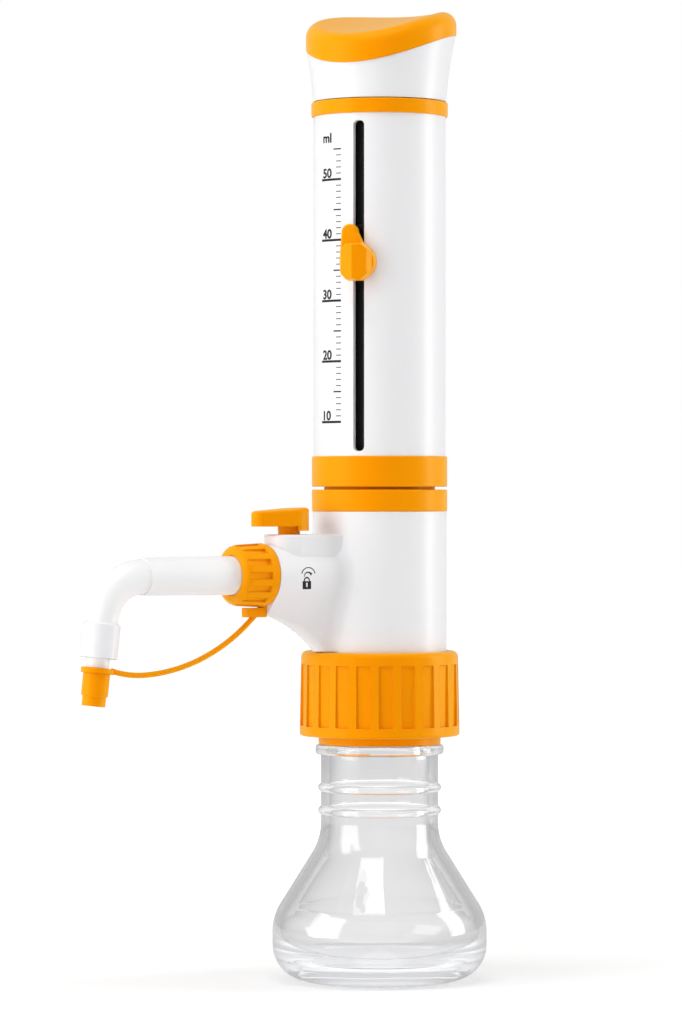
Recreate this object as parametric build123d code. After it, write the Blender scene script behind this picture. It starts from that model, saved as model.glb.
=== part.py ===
from build123d import *
from math import cos, pi, radians, sin, sqrt, tan
import os

# A bottle-top dispenser screwed on its glass bottle.  Millimetres and degrees.
# +Z is up, the origin is the centre of the bottle's foot, and the spout points along -X.

# ---- bottle ----
BOTTLE_R = 37.5  # at its widest
HEEL_R = 12.5  # rounding between foot and side
SIDE_H = 4.5  # upright stretch above the heel
SHOULDER_R = 18.0
CONE_ANGLE = 32.0  # shoulder's slope from the vertical
NECK_SWEEP_R = 20.0  # hollow curve from shoulder to neck
NECK_R = 20.5
NECK_TOP = 79.0
GLASS_WALL = 2.8
FLOOR_T = 7.5  # glass under the inside
FLOOR_CORNER_R = 9.0
PUSH_UP_R = 20.0
PUSH_UP_DEPTH = 2.5
BEAD_R = 1.5
BEAD_PROUD = 1.0
BEAD_HEIGHTS = (59.3, 67.3)
RIM_R = 22.4  # transfer bead under the thread
RIM_T = 3.3
RIM_ROUND = 1.0
FINISH_R = 18.0  # threaded mouth
FINISH_H = 13.7
MOUTH_R = 15.2

# ---- adapter and seals ----
ADAPTER_R = 21.35
ADAPTER_FIT = 0.2  # round the mouth, in radius
ADAPTER_LIFT = 0.3  # above the bottle's rim bead
ADAPTER_WEB_T = 2.0
ADAPTER_BORE_R = 14.5
SEAL_T = 1.2
HEAD_SEAL_T = 1.0
HEAD_SEAL_R = 15.6
HEAD_SEAL_BORE_R = 9.0
SEAT_GAP = 0.05

# ---- collar nut ----
COLLAR_BOTTOM = 85.5
COLLAR_H = 29.5
COLLAR_R = 28.0  # at the bottom
COLLAR_TAPER = 0.6  # the top is this much smaller in radius
COLLAR_TOP_ROUND = 2.0
COLLAR_LIP_ROUND = 0.8
COLLAR_THREAD_FIT = 0.25
COLLAR_SHOULDER_T = 4.0
COLLAR_RECESS_FIT = 0.4
RIB_COUNT = 22
RIB_W = 3.1
RIB_DEPTH = 0.8
RIB_PHASE = 2.0
RIB_FOOT = 3.6  # plain band below the ribs
RIB_HEAD = 4.5  # plain band above them

# ---- retaining ring on the block's neck ----
BLOCK_NECK_R = 16.0
NECK_BORE_FIT = 0.35
RETAINER_R = 20.5
RETAINER_T = 2.2
RETAINER_GROOVE = 0.8
RETAINER_LIFT = 0.8  # above the neck's end
RETAINER_CLEARANCE = 0.3
RETAINER_SLIT = 4.0

# ---- valve block ----
BLOCK_R = 23.4
BLOCK_TOP = 163.8
BLOCK_DIP = 7.0  # how far the block's cylinder sinks into the collar
BOSS_R = 10.6
BOSS_END = 48.8  # from the main axis
BOSS_FILLET = 6.0  # where the boss and its web run into the body
WEB_EDGE_R = 4.0  # rounding of the web's lower edge
WEB_DROP = 13.7  # lower edge below the spout axis, at the boss's end
WEB_SWEEP_R = 47.0  # hollow curve of the lower edge
WEB_SLOPE = 16.0  # its slope at the boss's end
WEB_TURN = 50.0  # how far it turns by the time it is inside the body
WEB_SECTION_COUNT = 5
WEB_GAP = 0.3  # between the web and the collar
PAD_R = 8.6
PAD_RISE = 13.9  # above the spout's axis
PAD_H = 7.9
PAD_ROUND = 0.8
SPIGOT_R = 8.5
SPIGOT_END = 58.0
SOCKET_DEPTH = 14.8
CHAMBER_R = 3.0
CHAMBER_FOOT = 118.0
CHANNEL_R = 2.0

# ---- swivel between block and housing ----
BAND_R = 23.7
BLOCK_BAND_H = 7.6
SWIVEL_GAP = 1.0
HOUSING_BAND_H = 10.6
SWIVEL_PIN_R = 19.4
SWIVEL_PIN_WALL = 2.6
SWIVEL_PIN_H = 4.0  # above the block's band
RUNNING = 0.06  # running clearance, in radius
CLIP_T = 1.0
CLIP_DEPTH = 0.8
CLIP_PLAY = 0.1
CLIP_LIFT = 1.2  # above the housing ring's foot
CLIP_SLIT = 9.0

# ---- housing ----
HOUSING_R = 23.1
HOUSING_WALL = 2.35
HOUSING_H = 118.6
SCALE_TURN = 36.3  # the scale's turn from the spout, towards -Y
SLOT_W = 3.9
SLOT_FOOT = 1.7  # above the tube's lower end
SLOT_HEAD = 2.7  # below its upper end
SLOT_ROUND = 1.6
GUIDE_H = 5.0
GUIDE_R = 23.9
GUIDE_SPIGOT_H = 2.0
RING_SPIGOT_H = 1.2
SPIGOT_FIT = 0.15
BAND_ROUND = 0.5

# ---- metering ----
MM_PER_ML = 2.1  # the stroke for one millilitre, which sets the bore
CYLINDER_WALL = 2.1
CYLINDER_H = 141.8
CYLINDER_SEAL_T = 1.2
CYLINDER_FIT = 0.05
PISTON_H = 28.0
PISTON_LIFT = 2.0  # above the chamber floor at rest
ROD_R = 4.5
SLEEVE_R = 17.5
SLEEVE_WALL = 1.5
STOP_R = 19.0
STOP_T = 3.0
STOP_LIFT = 3.4  # stop flange above the housing ring's foot
SET_ML = 38.0

# ---- head ----
HEAD_R = 23.3
HEAD_WALL = 2.2
HEAD_FLOOR_T = 2.5
HEAD_LIFT = 0.3  # above the guide ring
HEAD_WAIST_R = 24.9  # part-way up the flare
HEAD_WAIST_H = 14.1
HEAD_FLARE_R = 28.0
HEAD_FLARE_H = 29.1
HEAD_TURN = 28.8  # its low side's turn from the spout, towards -Y
HEAD_CUT_H = 17.1  # slanted mouth, on the axis
HEAD_CUT_SLOPE = 0.205
HEAD_CUT_R = 79.0  # hollow curve across the slope
HEAD_BOSS_R = 7.0
HEAD_BOSS_H = 5.0
CAP_R = 26.35
CAP_SHIFT = 1.3
CAP_T = 10.1  # on the axis
CAP_SLOPE = 0.22
CAP_HOLLOW_R = 80.0  # thumb hollow across the slope
CAP_ROUND = 4.8
CAP_SPIGOT_R = 21.6
CAP_SPIGOT_WALL = 1.8
CAP_SPIGOT_H = 3.5
CAP_SPIGOT_ROOT = 0.5  # sunk in the cap
PISTON_SCREW_R = 2.0
PISTON_SCREW_HEAD_R = 3.6
PISTON_SCREW_HEAD_T = 2.4
PISTON_SCREW_L = 12.0

# ---- volume pointer and its clamp ----
TONGUE_RISE = 8.7  # tongue's underside above the stud
POINTER_R = 6.3
POINTER_TIP_R = 2.9
POINTER_TIP = (-2.6, 10.2)  # its centre, sideways and above the stud
POINTER_T = 2.7
POINTER_GAP = 0.25
POINTER_ROUND = 0.9
POINTER_BLANK_T = 4.0  # stock behind the plate, cut away to the tube's curve
POINTER_NOTCH = 4.1  # height of the notch beside the tip, above the stud
KNOB_FLATS = 13.2
KNOB_H = 4.8
KNOB_SIDES = 8
KNOB_TAPER = 6.0
KNOB_GRIP = 12.0  # across the upright flats of its grip
KNOB_ROUND = 0.9
KNOB_GAP = 0.1
STUD_R = 1.75
STUD_FIT = 0.06
PLATE_T = 1.15
PLATE_W = 9.0
PLATE_GAP = 0.25
PLATE_TUCK = 0.4  # its foot above the pointer's
TONGUE_H = 4.4
TONGUE_REACH = 0.4  # stays this far from the sleeve

# ---- stopcock ----
STOPCOCK_X = 38.4
STEM_R = 3.8
LEVER_LIFT = 2.8  # above the pad
LEVER_T = 6.6
LEVER_HUB_R = 6.9
LEVER_END_R = 3.5
LEVER_L = 15.0  # from the stem to the tip
LEVER_DROP = 1.4
LEVER_ROUND = 1.2
LEVER_SKIRT_H = 1.5
LEVER_SKIRT_WALL = 1.5
PLUG_R = 5.0
PLUG_H = 18.0
PLUG_FOOT_GAP = 0.1
PLUG_SEAL_SECTION_R = 0.5
PLUG_SEAL_ROOM = 1.4
BUSH_H = 2.0

# ---- valves ----
INTAKE_R = 6.0
INTAKE_BALL_R = 2.75
INTAKE_SEAT_R = 1.9
INTAKE_LIFT = 1.5  # how far the ball can rise
INTAKE_CAGE_FIT = 0.3  # round the ball
INTAKE_CAGE_SLOT = 1.2  # passages past the raised ball
INTAKE_SPIGOT_R = 4.0
INTAKE_SPIGOT_L = 14.0
INTAKE_BODY_H = 17.0
DISCHARGE_POCKET_R = 4.0
DISCHARGE_SEAT_L = 3.0
DISCHARGE_SEAT_BORE_R = 1.5
DISCHARGE_BALL_R = 2.5
DISCHARGE_SPRING_R = 1.6
SPRING_WIRE_R = 0.22
SPRING_COILS = 4
BALL_GAP = 0.1  # under a ball at rest, and beyond it at its limit

# ---- spout ----
SPOUT_DROP = 21.8  # the spout's axis below the block's top
NUT_L = 12.1
NUT_R = 11.0
NUT_FRONT_R = 10.4
NUT_ROUND = 2.6
NUT_FRONT_T = 1.3
NUT_FLUTES = 14
NUT_FLUTE_W = 2.6
NUT_FLUTE_DEPTH = 0.45
NUT_LIP = 2.0
NUT_FIT = 0.2
TUBE_SEAL_T = 1.2
SLEEVE_FLANGE_R = 8.0
SLEEVE_FLANGE_T = 1.8
SPOUT_SLEEVE_R = 6.7
SPOUT_SLEEVE_END_R = 6.4
SPOUT_SLEEVE_END = 98.4
SPOUT_CORE_R = 3.5
SPOUT_BORE_R = 1.6
CORE_FIT = 0.05
ELBOW_R = 15.9
ELBOW_TURN = 83.1
ELBOW_START_R = 6.0
ELBOW_END_R = 5.4
ELBOW_SECTIONS = 5
ELBOW_TAIL = 1.1
COUPLER_R = 6.4
COUPLER_L = 12.1
COUPLER_CHAMFER = 0.9
CORE_TAIL = 7.0  # core below the elbow's tail, in the coupler
TIP_R = 3.9
TIP_END_R = 3.1
TIP_START = 8.5
TIP_STEP = 18.1
TIP_END = 27.1
TIP_BORE_R = 1.2

# ---- tip cap, strap and ring ----
TIP_CAP_START = 16.5
TIP_CAP_L = 12.9
TIP_CAP_FLANGE_R = 5.4
TIP_CAP_FLANGE_T = 1.8
TIP_CAP_R = 4.55
TIP_CAP_END_R = 4.0
TIP_CAP_END_L = 3.7
TIP_CAP_STEP = 0.6
TIP_CAP_FIT = 0.1
TIP_CAP_SEAT_GAP = 0.2
TIP_CAP_FLOOR_T = 1.6
TIP_CAP_TAB = 5.9
TIP_CAP_TAB_W = 3.0
STRAP_R = 0.95
STRAP_LOW_R = 40.0
STRAP_LOW_TURN = 20.0
STRAP_DIP = 10.0  # below square to the tab's end
STRAP_GAP = 0.3  # to the cap's tab
STRAP_END_DROP = 0.85  # its centre line stops this far below the lug
STRAP_INSET = 3.6  # from the lug's outer end
EYE_RING_T = 1.3
EYE_RING_GAP = 0.1  # on each side
EYE_RING_SINK = 0.1  # its edge below the boss's
EYE_LUG_GAP = 0.2  # below the nut
EYE_LUG_L = 7.9
EYE_LUG_T = 3.2
EYE_LUG_W = 3.6

# ---- levels worked out from the sizes above ----
RIM_TOP = NECK_TOP + RIM_T
MOUTH_Z = RIM_TOP + FINISH_H
ADAPTER_FOOT = RIM_TOP + ADAPTER_LIFT
ADAPTER_UNDER = MOUTH_Z + SEAL_T
ADAPTER_TOP = ADAPTER_UNDER + ADAPTER_WEB_T
HEAD_SEAL_FOOT = ADAPTER_TOP + SEAT_GAP
BLOCK_NECK_FOOT = HEAD_SEAL_FOOT + HEAD_SEAL_T + SEAT_GAP
RETAINER_FOOT = BLOCK_NECK_FOOT + RETAINER_LIFT
COLLAR_TOP = COLLAR_BOTTOM + COLLAR_H
COLLAR_SHOULDER_FOOT = RETAINER_FOOT + RETAINER_T + RETAINER_CLEARANCE
COLLAR_SHOULDER_TOP = COLLAR_SHOULDER_FOOT + COLLAR_SHOULDER_T
BLOCK_FOOT = COLLAR_TOP - BLOCK_DIP
BLOCK_BAND_TOP = BLOCK_TOP + BLOCK_BAND_H
HOUSING_RING_FOOT = BLOCK_BAND_TOP + SWIVEL_GAP
HOUSING_FOOT = HOUSING_RING_FOOT + HOUSING_BAND_H
HOUSING_TOP = HOUSING_FOOT + HOUSING_H
HOUSING_BORE_R = HOUSING_R - HOUSING_WALL
GUIDE_TOP = HOUSING_TOP + GUIDE_H
CHAMBER_FLOOR = BLOCK_TOP - SOCKET_DEPTH
CYLINDER_BORE_R = sqrt(1000 / (pi * MM_PER_ML))
CYLINDER_R = CYLINDER_BORE_R + CYLINDER_WALL
CYLINDER_FOOT = CHAMBER_FLOOR + CYLINDER_SEAL_T
SOCKET_R = CYLINDER_R + CYLINDER_FIT
PISTON_FOOT = CHAMBER_FLOOR + PISTON_LIFT
STOP_FOOT = HOUSING_RING_FOOT + STOP_LIFT
STOP_TOP = STOP_FOOT + STOP_T
TONGUE_Z = STOP_TOP + SET_ML * MM_PER_ML
STUD_Z = TONGUE_Z - TONGUE_RISE
HEAD_FOOT = GUIDE_TOP + HEAD_LIFT
HEAD_FLOOR_TOP = HEAD_FOOT + HEAD_FLOOR_T
ROD_TOP = HEAD_FLOOR_TOP + HEAD_BOSS_H
HEAD_CUT_Z = HEAD_FOOT + HEAD_CUT_H
SPOUT_Z = BLOCK_TOP - SPOUT_DROP
PAD_TOP = SPOUT_Z + PAD_RISE
PAD_BASE = PAD_TOP - PAD_H
LEVER_BOTTOM = PAD_TOP + LEVER_LIFT
PLUG_TOP = PAD_TOP - BUSH_H - PLUG_SEAL_ROOM
PLUG_FOOT = PLUG_TOP - PLUG_H
INTAKE_FOOT = BLOCK_NECK_FOOT
POINTER_BACK_R = HOUSING_R + POINTER_GAP
POINTER_FACE_R = POINTER_BACK_R + POINTER_T
PLATE_BACK_R = HOUSING_BORE_R - PLATE_GAP
SPRING_FOOT = BOSS_END + DISCHARGE_SEAT_L
EYE_RING_START = BOSS_END + EYE_RING_GAP
EYE_LUG_TOP = SPOUT_Z - NUT_R - EYE_LUG_GAP
EYE_LUG_FOOT = EYE_LUG_TOP - EYE_LUG_T
NUT_START = EYE_RING_START + EYE_RING_T + EYE_RING_GAP
NUT_END = NUT_START + NUT_L
TUBE_START = SPIGOT_END + TUBE_SEAL_T

BLANK = 200.0  # larger than any piece, for half-spaces
CUT_OVER = 1.0  # how far a cut runs past the surface

SCALE_SIDE = Rot(0, 0, SCALE_TURN)
HEAD_SIDE = Rot(0, 0, HEAD_TURN)
SPOUT = Plane(origin=(0, 0, SPOUT_Z), x_dir=(0, 0, 1), z_dir=(-1, 0, 0)).location
NOZZLE_TILT = radians(90 - ELBOW_TURN)
ELBOW_END_X = -SPOUT_SLEEVE_END - ELBOW_R * sin(radians(ELBOW_TURN))
ELBOW_END_Z = SPOUT_Z - ELBOW_R * (1 - cos(radians(ELBOW_TURN)))
NOZZLE = Plane(
    origin=(ELBOW_END_X, 0, ELBOW_END_Z),
    x_dir=(cos(NOZZLE_TILT), 0, -sin(NOZZLE_TILT)),
    z_dir=(-sin(NOZZLE_TILT), 0, -cos(NOZZLE_TILT)),
).location
STOPCOCK = Pos(-STOPCOCK_X, 0, 0)


def rod(radius, low, high):
    """A round bar on the Z axis between two heights."""
    return Pos(0, 0, low) * Cylinder(radius, high - low, align=(Align.CENTER, Align.CENTER, Align.MIN))


def tube(outer, inner, low, high):
    return rod(outer, low, high) - rod(inner, low, high)


def turned(*outline):
    """A turned piece from its half outline of (radius, height) points."""
    return revolve(make_face(Plane.XZ * Polyline(*outline, close=True)), Axis.Z)


def block(low, high):
    """A box between two corners."""
    size = [b - a for a, b in zip(low, high)]
    return Pos(*low) * Box(*size, align=(Align.MIN, Align.MIN, Align.MIN))


def above(height, slope):
    """Everything above a plane that rises along +X."""
    plane = Plane(origin=(0, 0, height), z_dir=(-slope, 0, 1))
    return plane.location * Box(BLANK, BLANK, BLANK, align=(Align.CENTER, Align.CENTER, Align.MIN))


# ---- bottle, adapter and seals ----


def flask_form(inset, floor, corner, top):
    """The bottle's form, set in from its outside by a wall, between a floor and a top."""
    side = BOTTLE_R - inset
    shoulder = SHOULDER_R - inset
    throat = NECK_SWEEP_R + inset
    neck = NECK_R - inset
    turn = radians(CONE_ANGLE)
    side_top = HEEL_R + SIDE_H
    cone_foot = (side - shoulder * (1 - cos(turn)), side_top + shoulder * sin(turn))
    cone_top_r = neck + throat * (1 - cos(turn))
    cone_top = (cone_top_r, cone_foot[1] + (cone_foot[0] - cone_top_r) / tan(turn))
    neck_foot = (neck, cone_top[1] + throat * sin(turn))
    outline = [
        Line((0, floor), (side - corner, floor)),
        TangentArc((side - corner, floor), (side, floor + corner), tangent=(1, 0)),
        Line((side, floor + corner), (side, side_top)),
        TangentArc((side, side_top), cone_foot, tangent=(0, 1)),
        Line(cone_foot, cone_top),
        TangentArc(cone_top, neck_foot, tangent=(-sin(turn), cos(turn))),
        Polyline(neck_foot, (neck, top), (0, top), (0, floor)),
    ]
    return revolve(make_face(Plane.XZ * Curve(outline)), Axis.Z)


def glass_bottle():
    """A pear-shaped bottle with two neck beads, a transfer bead and a plain mouth for the thread."""
    body = flask_form(0, 0, HEEL_R, NECK_TOP)
    rim = rod(RIM_R, NECK_TOP, RIM_TOP)
    body += fillet(rim.edges().filter_by(GeomType.CIRCLE), RIM_ROUND)
    body += rod(FINISH_R, RIM_TOP, MOUTH_Z)
    for height in BEAD_HEIGHTS:
        body += Pos(0, 0, height) * Torus(NECK_R + BEAD_PROUD - BEAD_R, BEAD_R)
    body -= flask_form(GLASS_WALL, FLOOR_T, FLOOR_CORNER_R, NECK_TOP)
    body -= rod(MOUTH_R, FLOOR_T + FLOOR_CORNER_R, MOUTH_Z)
    dome_r = (PUSH_UP_R**2 + PUSH_UP_DEPTH**2) / (2 * PUSH_UP_DEPTH)
    return body - Pos(0, 0, PUSH_UP_DEPTH - dome_r) * Sphere(dome_r)


def bottle_adapter():
    """Takes the collar's large thread down to the bottle's mouth."""
    shell = tube(ADAPTER_R, FINISH_R + ADAPTER_FIT, ADAPTER_FOOT, ADAPTER_UNDER)
    return shell + tube(ADAPTER_R, ADAPTER_BORE_R, ADAPTER_UNDER, ADAPTER_TOP)


def bottle_seal():
    return tube(FINISH_R, ADAPTER_BORE_R, MOUTH_Z, ADAPTER_UNDER)


def head_seal():
    return tube(HEAD_SEAL_R, HEAD_SEAL_BORE_R, HEAD_SEAL_FOOT, HEAD_SEAL_FOOT + HEAD_SEAL_T)


# ---- collar nut and its retaining ring ----


def collar_panel(angle):
    """One shallow recess between two ribs of the collar."""
    low = COLLAR_BOTTOM + RIB_FOOT
    high = COLLAR_TOP - RIB_HEAD
    width = 2 * COLLAR_R * sin(radians(180 / RIB_COUNT)) - RIB_W
    depth_r = COLLAR_R - COLLAR_TAPER / 2 - RIB_DEPTH
    return Rot(0, 0, angle) * block((depth_r, -width / 2, low), (COLLAR_R + CUT_OVER, width / 2, high))


def collar_nut():
    """A ribbed screw collar that pulls the valve block down on the adapter."""
    body = turned(
        (0, COLLAR_BOTTOM), (COLLAR_R, COLLAR_BOTTOM), (COLLAR_R - COLLAR_TAPER, COLLAR_TOP), (0, COLLAR_TOP)
    )
    rims = body.edges().filter_by(GeomType.CIRCLE).sort_by(Axis.Z)
    body = fillet(rims[-1], COLLAR_TOP_ROUND)
    body = fillet(body.edges().filter_by(GeomType.CIRCLE).sort_by(Axis.Z)[0], COLLAR_LIP_ROUND)
    body -= rod(ADAPTER_R + COLLAR_THREAD_FIT, COLLAR_BOTTOM, COLLAR_SHOULDER_FOOT)
    body -= rod(BLOCK_NECK_R + NECK_BORE_FIT, COLLAR_SHOULDER_FOOT, COLLAR_SHOULDER_TOP)
    body -= rod(BLOCK_R + COLLAR_RECESS_FIT, COLLAR_SHOULDER_TOP, COLLAR_TOP)
    step = 360 / RIB_COUNT
    return body - [collar_panel(RIB_PHASE + (i + 0.5) * step) for i in range(RIB_COUNT)]


def collar_retaining_ring():
    """A split ring in the block's neck groove, which the collar's shoulder pulls on."""
    low, high = RETAINER_FOOT, RETAINER_FOOT + RETAINER_T
    ring = tube(RETAINER_R, BLOCK_NECK_R - RETAINER_GROOVE, low, high)
    return ring - block((0, -RETAINER_SLIT / 2, low), (RETAINER_R, RETAINER_SLIT / 2, high))


# ---- valve block and the pieces fixed in it ----


def boss_section(share):
    """The round boss and the web under it: a section from the boss's end (0) to inside the body (1)."""
    start = radians(WEB_SLOPE)
    slope = radians(WEB_SLOPE + WEB_TURN * share)
    place = BOSS_END - WEB_SWEEP_R * (sin(slope) - sin(start))
    drop = WEB_DROP + WEB_SWEEP_R * (cos(start) - cos(slope))
    edge = Pos(WEB_EDGE_R - drop, 0) * Circle(WEB_EDGE_R)
    return Pos(0, 0, place) * make_hull(Circle(BOSS_R).edges() + edge.edges())


def block_form():
    """The block's upright body with the spout boss and its web, run together by a soft fillet."""
    last = WEB_SECTION_COUNT - 1
    blank_foot = SPOUT_Z - BLANK
    upright = rod(BLOCK_R, blank_foot, BLOCK_TOP)
    boss = SPOUT * loft([boss_section(i / last) for i in range(last, -1, -1)])
    body = upright + boss
    body = fillet(new_edges(upright, boss, combined=body), BOSS_FILLET)
    body -= rod(BLOCK_R, blank_foot, BLOCK_FOOT)
    return body - tube(BOSS_END, BLOCK_R, blank_foot, COLLAR_TOP + WEB_GAP)


def stopcock_pad():
    """The flat pad round the stopcock's stem, run back into the body."""
    pad = STOPCOCK * rod(PAD_R, PAD_BASE, PAD_TOP)
    pad += block((-STOPCOCK_X, -PAD_R, PAD_BASE), (0, PAD_R, PAD_TOP))
    rim = pad.edges().group_by(Axis.Z)[-1].filter_by(GeomType.CIRCLE)
    return fillet(rim, PAD_ROUND)


def valve_block():
    """The moulded valve block: collar neck, body, spout boss with its web, and the channels."""
    body = block_form() + rod(BLOCK_NECK_R, BLOCK_NECK_FOOT, BLOCK_FOOT)
    body += stopcock_pad() + SPOUT * rod(SPIGOT_R, BOSS_END, SPIGOT_END)
    groove_low, groove_high = RETAINER_FOOT, RETAINER_FOOT + RETAINER_T
    body -= tube(RETAINER_R, BLOCK_NECK_R - RETAINER_GROOVE, groove_low, groove_high)
    body -= rod(SOCKET_R, CHAMBER_FLOOR, BLOCK_TOP)
    body -= rod(CHAMBER_R, CHAMBER_FOOT, CHAMBER_FLOOR)
    body -= rod(INTAKE_R + CORE_FIT, BLOCK_NECK_FOOT, CHAMBER_FOOT)
    body -= SPOUT * rod(CHANNEL_R, 0, BOSS_END)
    body -= SPOUT * rod(DISCHARGE_POCKET_R, BOSS_END, SPIGOT_END)
    return body - STOPCOCK * rod(PLUG_R + RUNNING, PLUG_FOOT - PLUG_FOOT_GAP, PAD_TOP)


def clip_groove(shell_r, low):
    """The room that the swivel clip takes beyond a wall."""
    return tube(shell_r + CLIP_DEPTH, shell_r - CLIP_DEPTH, low - CLIP_PLAY, low + CLIP_T + CLIP_PLAY)


def block_ring():
    """The block's band, with the pin that the housing turns on."""
    pin_top = BLOCK_BAND_TOP + SWIVEL_PIN_H
    band = tube(BAND_R, SOCKET_R, BLOCK_TOP, BLOCK_BAND_TOP)
    band = fillet(band.edges().filter_by(GeomType.CIRCLE).sort_by(SortBy.RADIUS)[-2:], BAND_ROUND)
    band += tube(SWIVEL_PIN_R, SWIVEL_PIN_R - SWIVEL_PIN_WALL, BLOCK_BAND_TOP, pin_top)
    return band - clip_groove(SWIVEL_PIN_R, HOUSING_RING_FOOT + CLIP_LIFT)


def swivel_clip():
    """A split snap ring that keeps the housing on the pin."""
    low = HOUSING_RING_FOOT + CLIP_LIFT
    reach = CLIP_DEPTH - CLIP_PLAY
    ring = tube(SWIVEL_PIN_R + reach, SWIVEL_PIN_R - reach, low, low + CLIP_T)
    slit = block((0, -CLIP_SLIT / 2, low), (SWIVEL_PIN_R + CLIP_DEPTH, CLIP_SLIT / 2, low + CLIP_T))
    return ring - slit


def glass_cylinder():
    return tube(CYLINDER_R, CYLINDER_BORE_R, CYLINDER_FOOT, CYLINDER_FOOT + CYLINDER_H)


def cylinder_seal():
    return tube(CYLINDER_R, CYLINDER_BORE_R, CHAMBER_FLOOR, CYLINDER_FOOT)


def intake_seat_z():
    return INTAKE_FOOT + INTAKE_BODY_H / 2


def intake_ball_z():
    return intake_seat_z() + sqrt(INTAKE_BALL_R**2 - INTAKE_SEAT_R**2) + BALL_GAP


def intake_valve_body():
    """The screw-in intake valve, with its ball seat and the hose spigot below."""
    top = INTAKE_FOOT + INTAKE_BODY_H
    cage_r = INTAKE_BALL_R + INTAKE_CAGE_FIT
    cage_top = intake_ball_z() + INTAKE_BALL_R + INTAKE_LIFT + BALL_GAP
    seat = intake_seat_z()
    body = turned(
        (INTAKE_SEAT_R, INTAKE_FOOT - INTAKE_SPIGOT_L),
        (INTAKE_SPIGOT_R, INTAKE_FOOT - INTAKE_SPIGOT_L),
        (INTAKE_SPIGOT_R, INTAKE_FOOT),
        (INTAKE_R, INTAKE_FOOT),
        (INTAKE_R, top),
        (INTAKE_SEAT_R, top),
        (INTAKE_SEAT_R, cage_top),
        (cage_r, cage_top),
        (cage_r, seat),
        (INTAKE_SEAT_R, seat),
    )
    half = INTAKE_CAGE_SLOT / 2
    slot = block((-cage_r, -half, cage_top), (cage_r, half, top))
    return body - slot - Rot(0, 0, 90) * slot


def intake_ball():
    return Pos(0, 0, intake_ball_z()) * Sphere(INTAKE_BALL_R)


def discharge_valve_seat():
    """The seat pressed into the spigot, which the discharge ball closes."""
    return SPOUT * tube(DISCHARGE_POCKET_R, DISCHARGE_SEAT_BORE_R, BOSS_END, BOSS_END + DISCHARGE_SEAT_L)


def discharge_ball_s():
    """The ball's centre, from the main axis along the spout."""
    drop = sqrt(DISCHARGE_BALL_R**2 - DISCHARGE_SEAT_BORE_R**2)
    return BOSS_END + DISCHARGE_SEAT_L + drop + BALL_GAP


def discharge_ball():
    return SPOUT * Pos(0, 0, discharge_ball_s()) * Sphere(DISCHARGE_BALL_R)


def discharge_spring():
    """The light coil spring between the ball and the tube's end."""
    touch = sqrt(DISCHARGE_BALL_R**2 - DISCHARGE_SPRING_R**2)
    low = discharge_ball_s() + touch + SPRING_WIRE_R + BALL_GAP
    high = TUBE_START - SPRING_WIRE_R
    path = Helix((high - low) / SPRING_COILS, high - low, DISCHARGE_SPRING_R)
    wire = Plane(path @ 0, z_dir=path % 0) * Circle(SPRING_WIRE_R)
    return SPOUT * Pos(0, 0, low) * sweep(wire, path)


# ---- stopcock ----


def stem_bush():
    low = PAD_TOP - BUSH_H
    return STOPCOCK * tube(PLUG_R, STEM_R + RUNNING, low, PAD_TOP)


def plug_seal():
    ring_r = (STEM_R + PLUG_R + RUNNING) / 2
    return STOPCOCK * Pos(0, 0, PLUG_TOP + PLUG_SEAL_ROOM / 2) * Torus(ring_r, PLUG_SEAL_SECTION_R)


def stopcock_plug():
    """The plug whose cross bore lines up with the channel when the lever points along the spout."""
    plug = STOPCOCK * rod(PLUG_R, PLUG_FOOT, PLUG_TOP)
    return plug - SPOUT * rod(CHANNEL_R, STOPCOCK_X - PLUG_R, STOPCOCK_X + PLUG_R)


def valve_lever():
    """The teardrop lever on its stem, with a skirt at the back of the hub."""
    end = Pos(-(LEVER_L - LEVER_END_R), 0) * Circle(LEVER_END_R)
    outline = make_hull(Circle(LEVER_HUB_R).edges() + end.edges())
    top = LEVER_BOTTOM + LEVER_T
    paddle = Pos(0, 0, LEVER_BOTTOM) * extrude(outline, LEVER_T)
    slope = LEVER_DROP / (LEVER_L + LEVER_HUB_R)
    paddle -= Pos(LEVER_HUB_R, 0, 0) * above(top, slope)
    crown = paddle.faces().sort_by(Axis.Z)[-1]
    paddle = fillet(crown.edges(), LEVER_ROUND)
    skirt = tube(LEVER_HUB_R, LEVER_HUB_R - LEVER_SKIRT_WALL, LEVER_BOTTOM - LEVER_SKIRT_H, LEVER_BOTTOM)
    skirt &= block((0, -LEVER_HUB_R, LEVER_BOTTOM - LEVER_SKIRT_H), (LEVER_HUB_R, LEVER_HUB_R, LEVER_BOTTOM))
    return STOPCOCK * (paddle + skirt + rod(STEM_R, PLUG_TOP, LEVER_BOTTOM))


# ---- spout ----


def union_nut():
    """The fluted nut that holds the discharge tube on the block's spigot."""
    body = turned((0, NUT_START), (NUT_R, NUT_START), (NUT_FRONT_R, NUT_END), (0, NUT_END))
    body = fillet(body.edges().filter_by(GeomType.CIRCLE).sort_by(Axis.Z)[-1], NUT_ROUND)
    body -= rod(SPIGOT_R + NUT_FIT, NUT_START, NUT_END - NUT_FRONT_T)
    body -= rod(SPOUT_SLEEVE_R + NUT_FIT, NUT_START, NUT_END)
    width = 2 * NUT_R * sin(radians(180 / NUT_FLUTES)) - NUT_FLUTE_W
    floor_r = NUT_FRONT_R - NUT_FLUTE_DEPTH
    flute = block((floor_r, -width / 2, NUT_START + NUT_LIP), (NUT_R + CUT_OVER, width / 2, NUT_END))
    step = 360 / NUT_FLUTES
    return SPOUT * (body - [Rot(0, 0, (i + 0.5) * step) * flute for i in range(NUT_FLUTES)])


def tube_seal():
    return SPOUT * tube(SLEEVE_FLANGE_R, DISCHARGE_POCKET_R, SPIGOT_END, TUBE_START)


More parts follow.
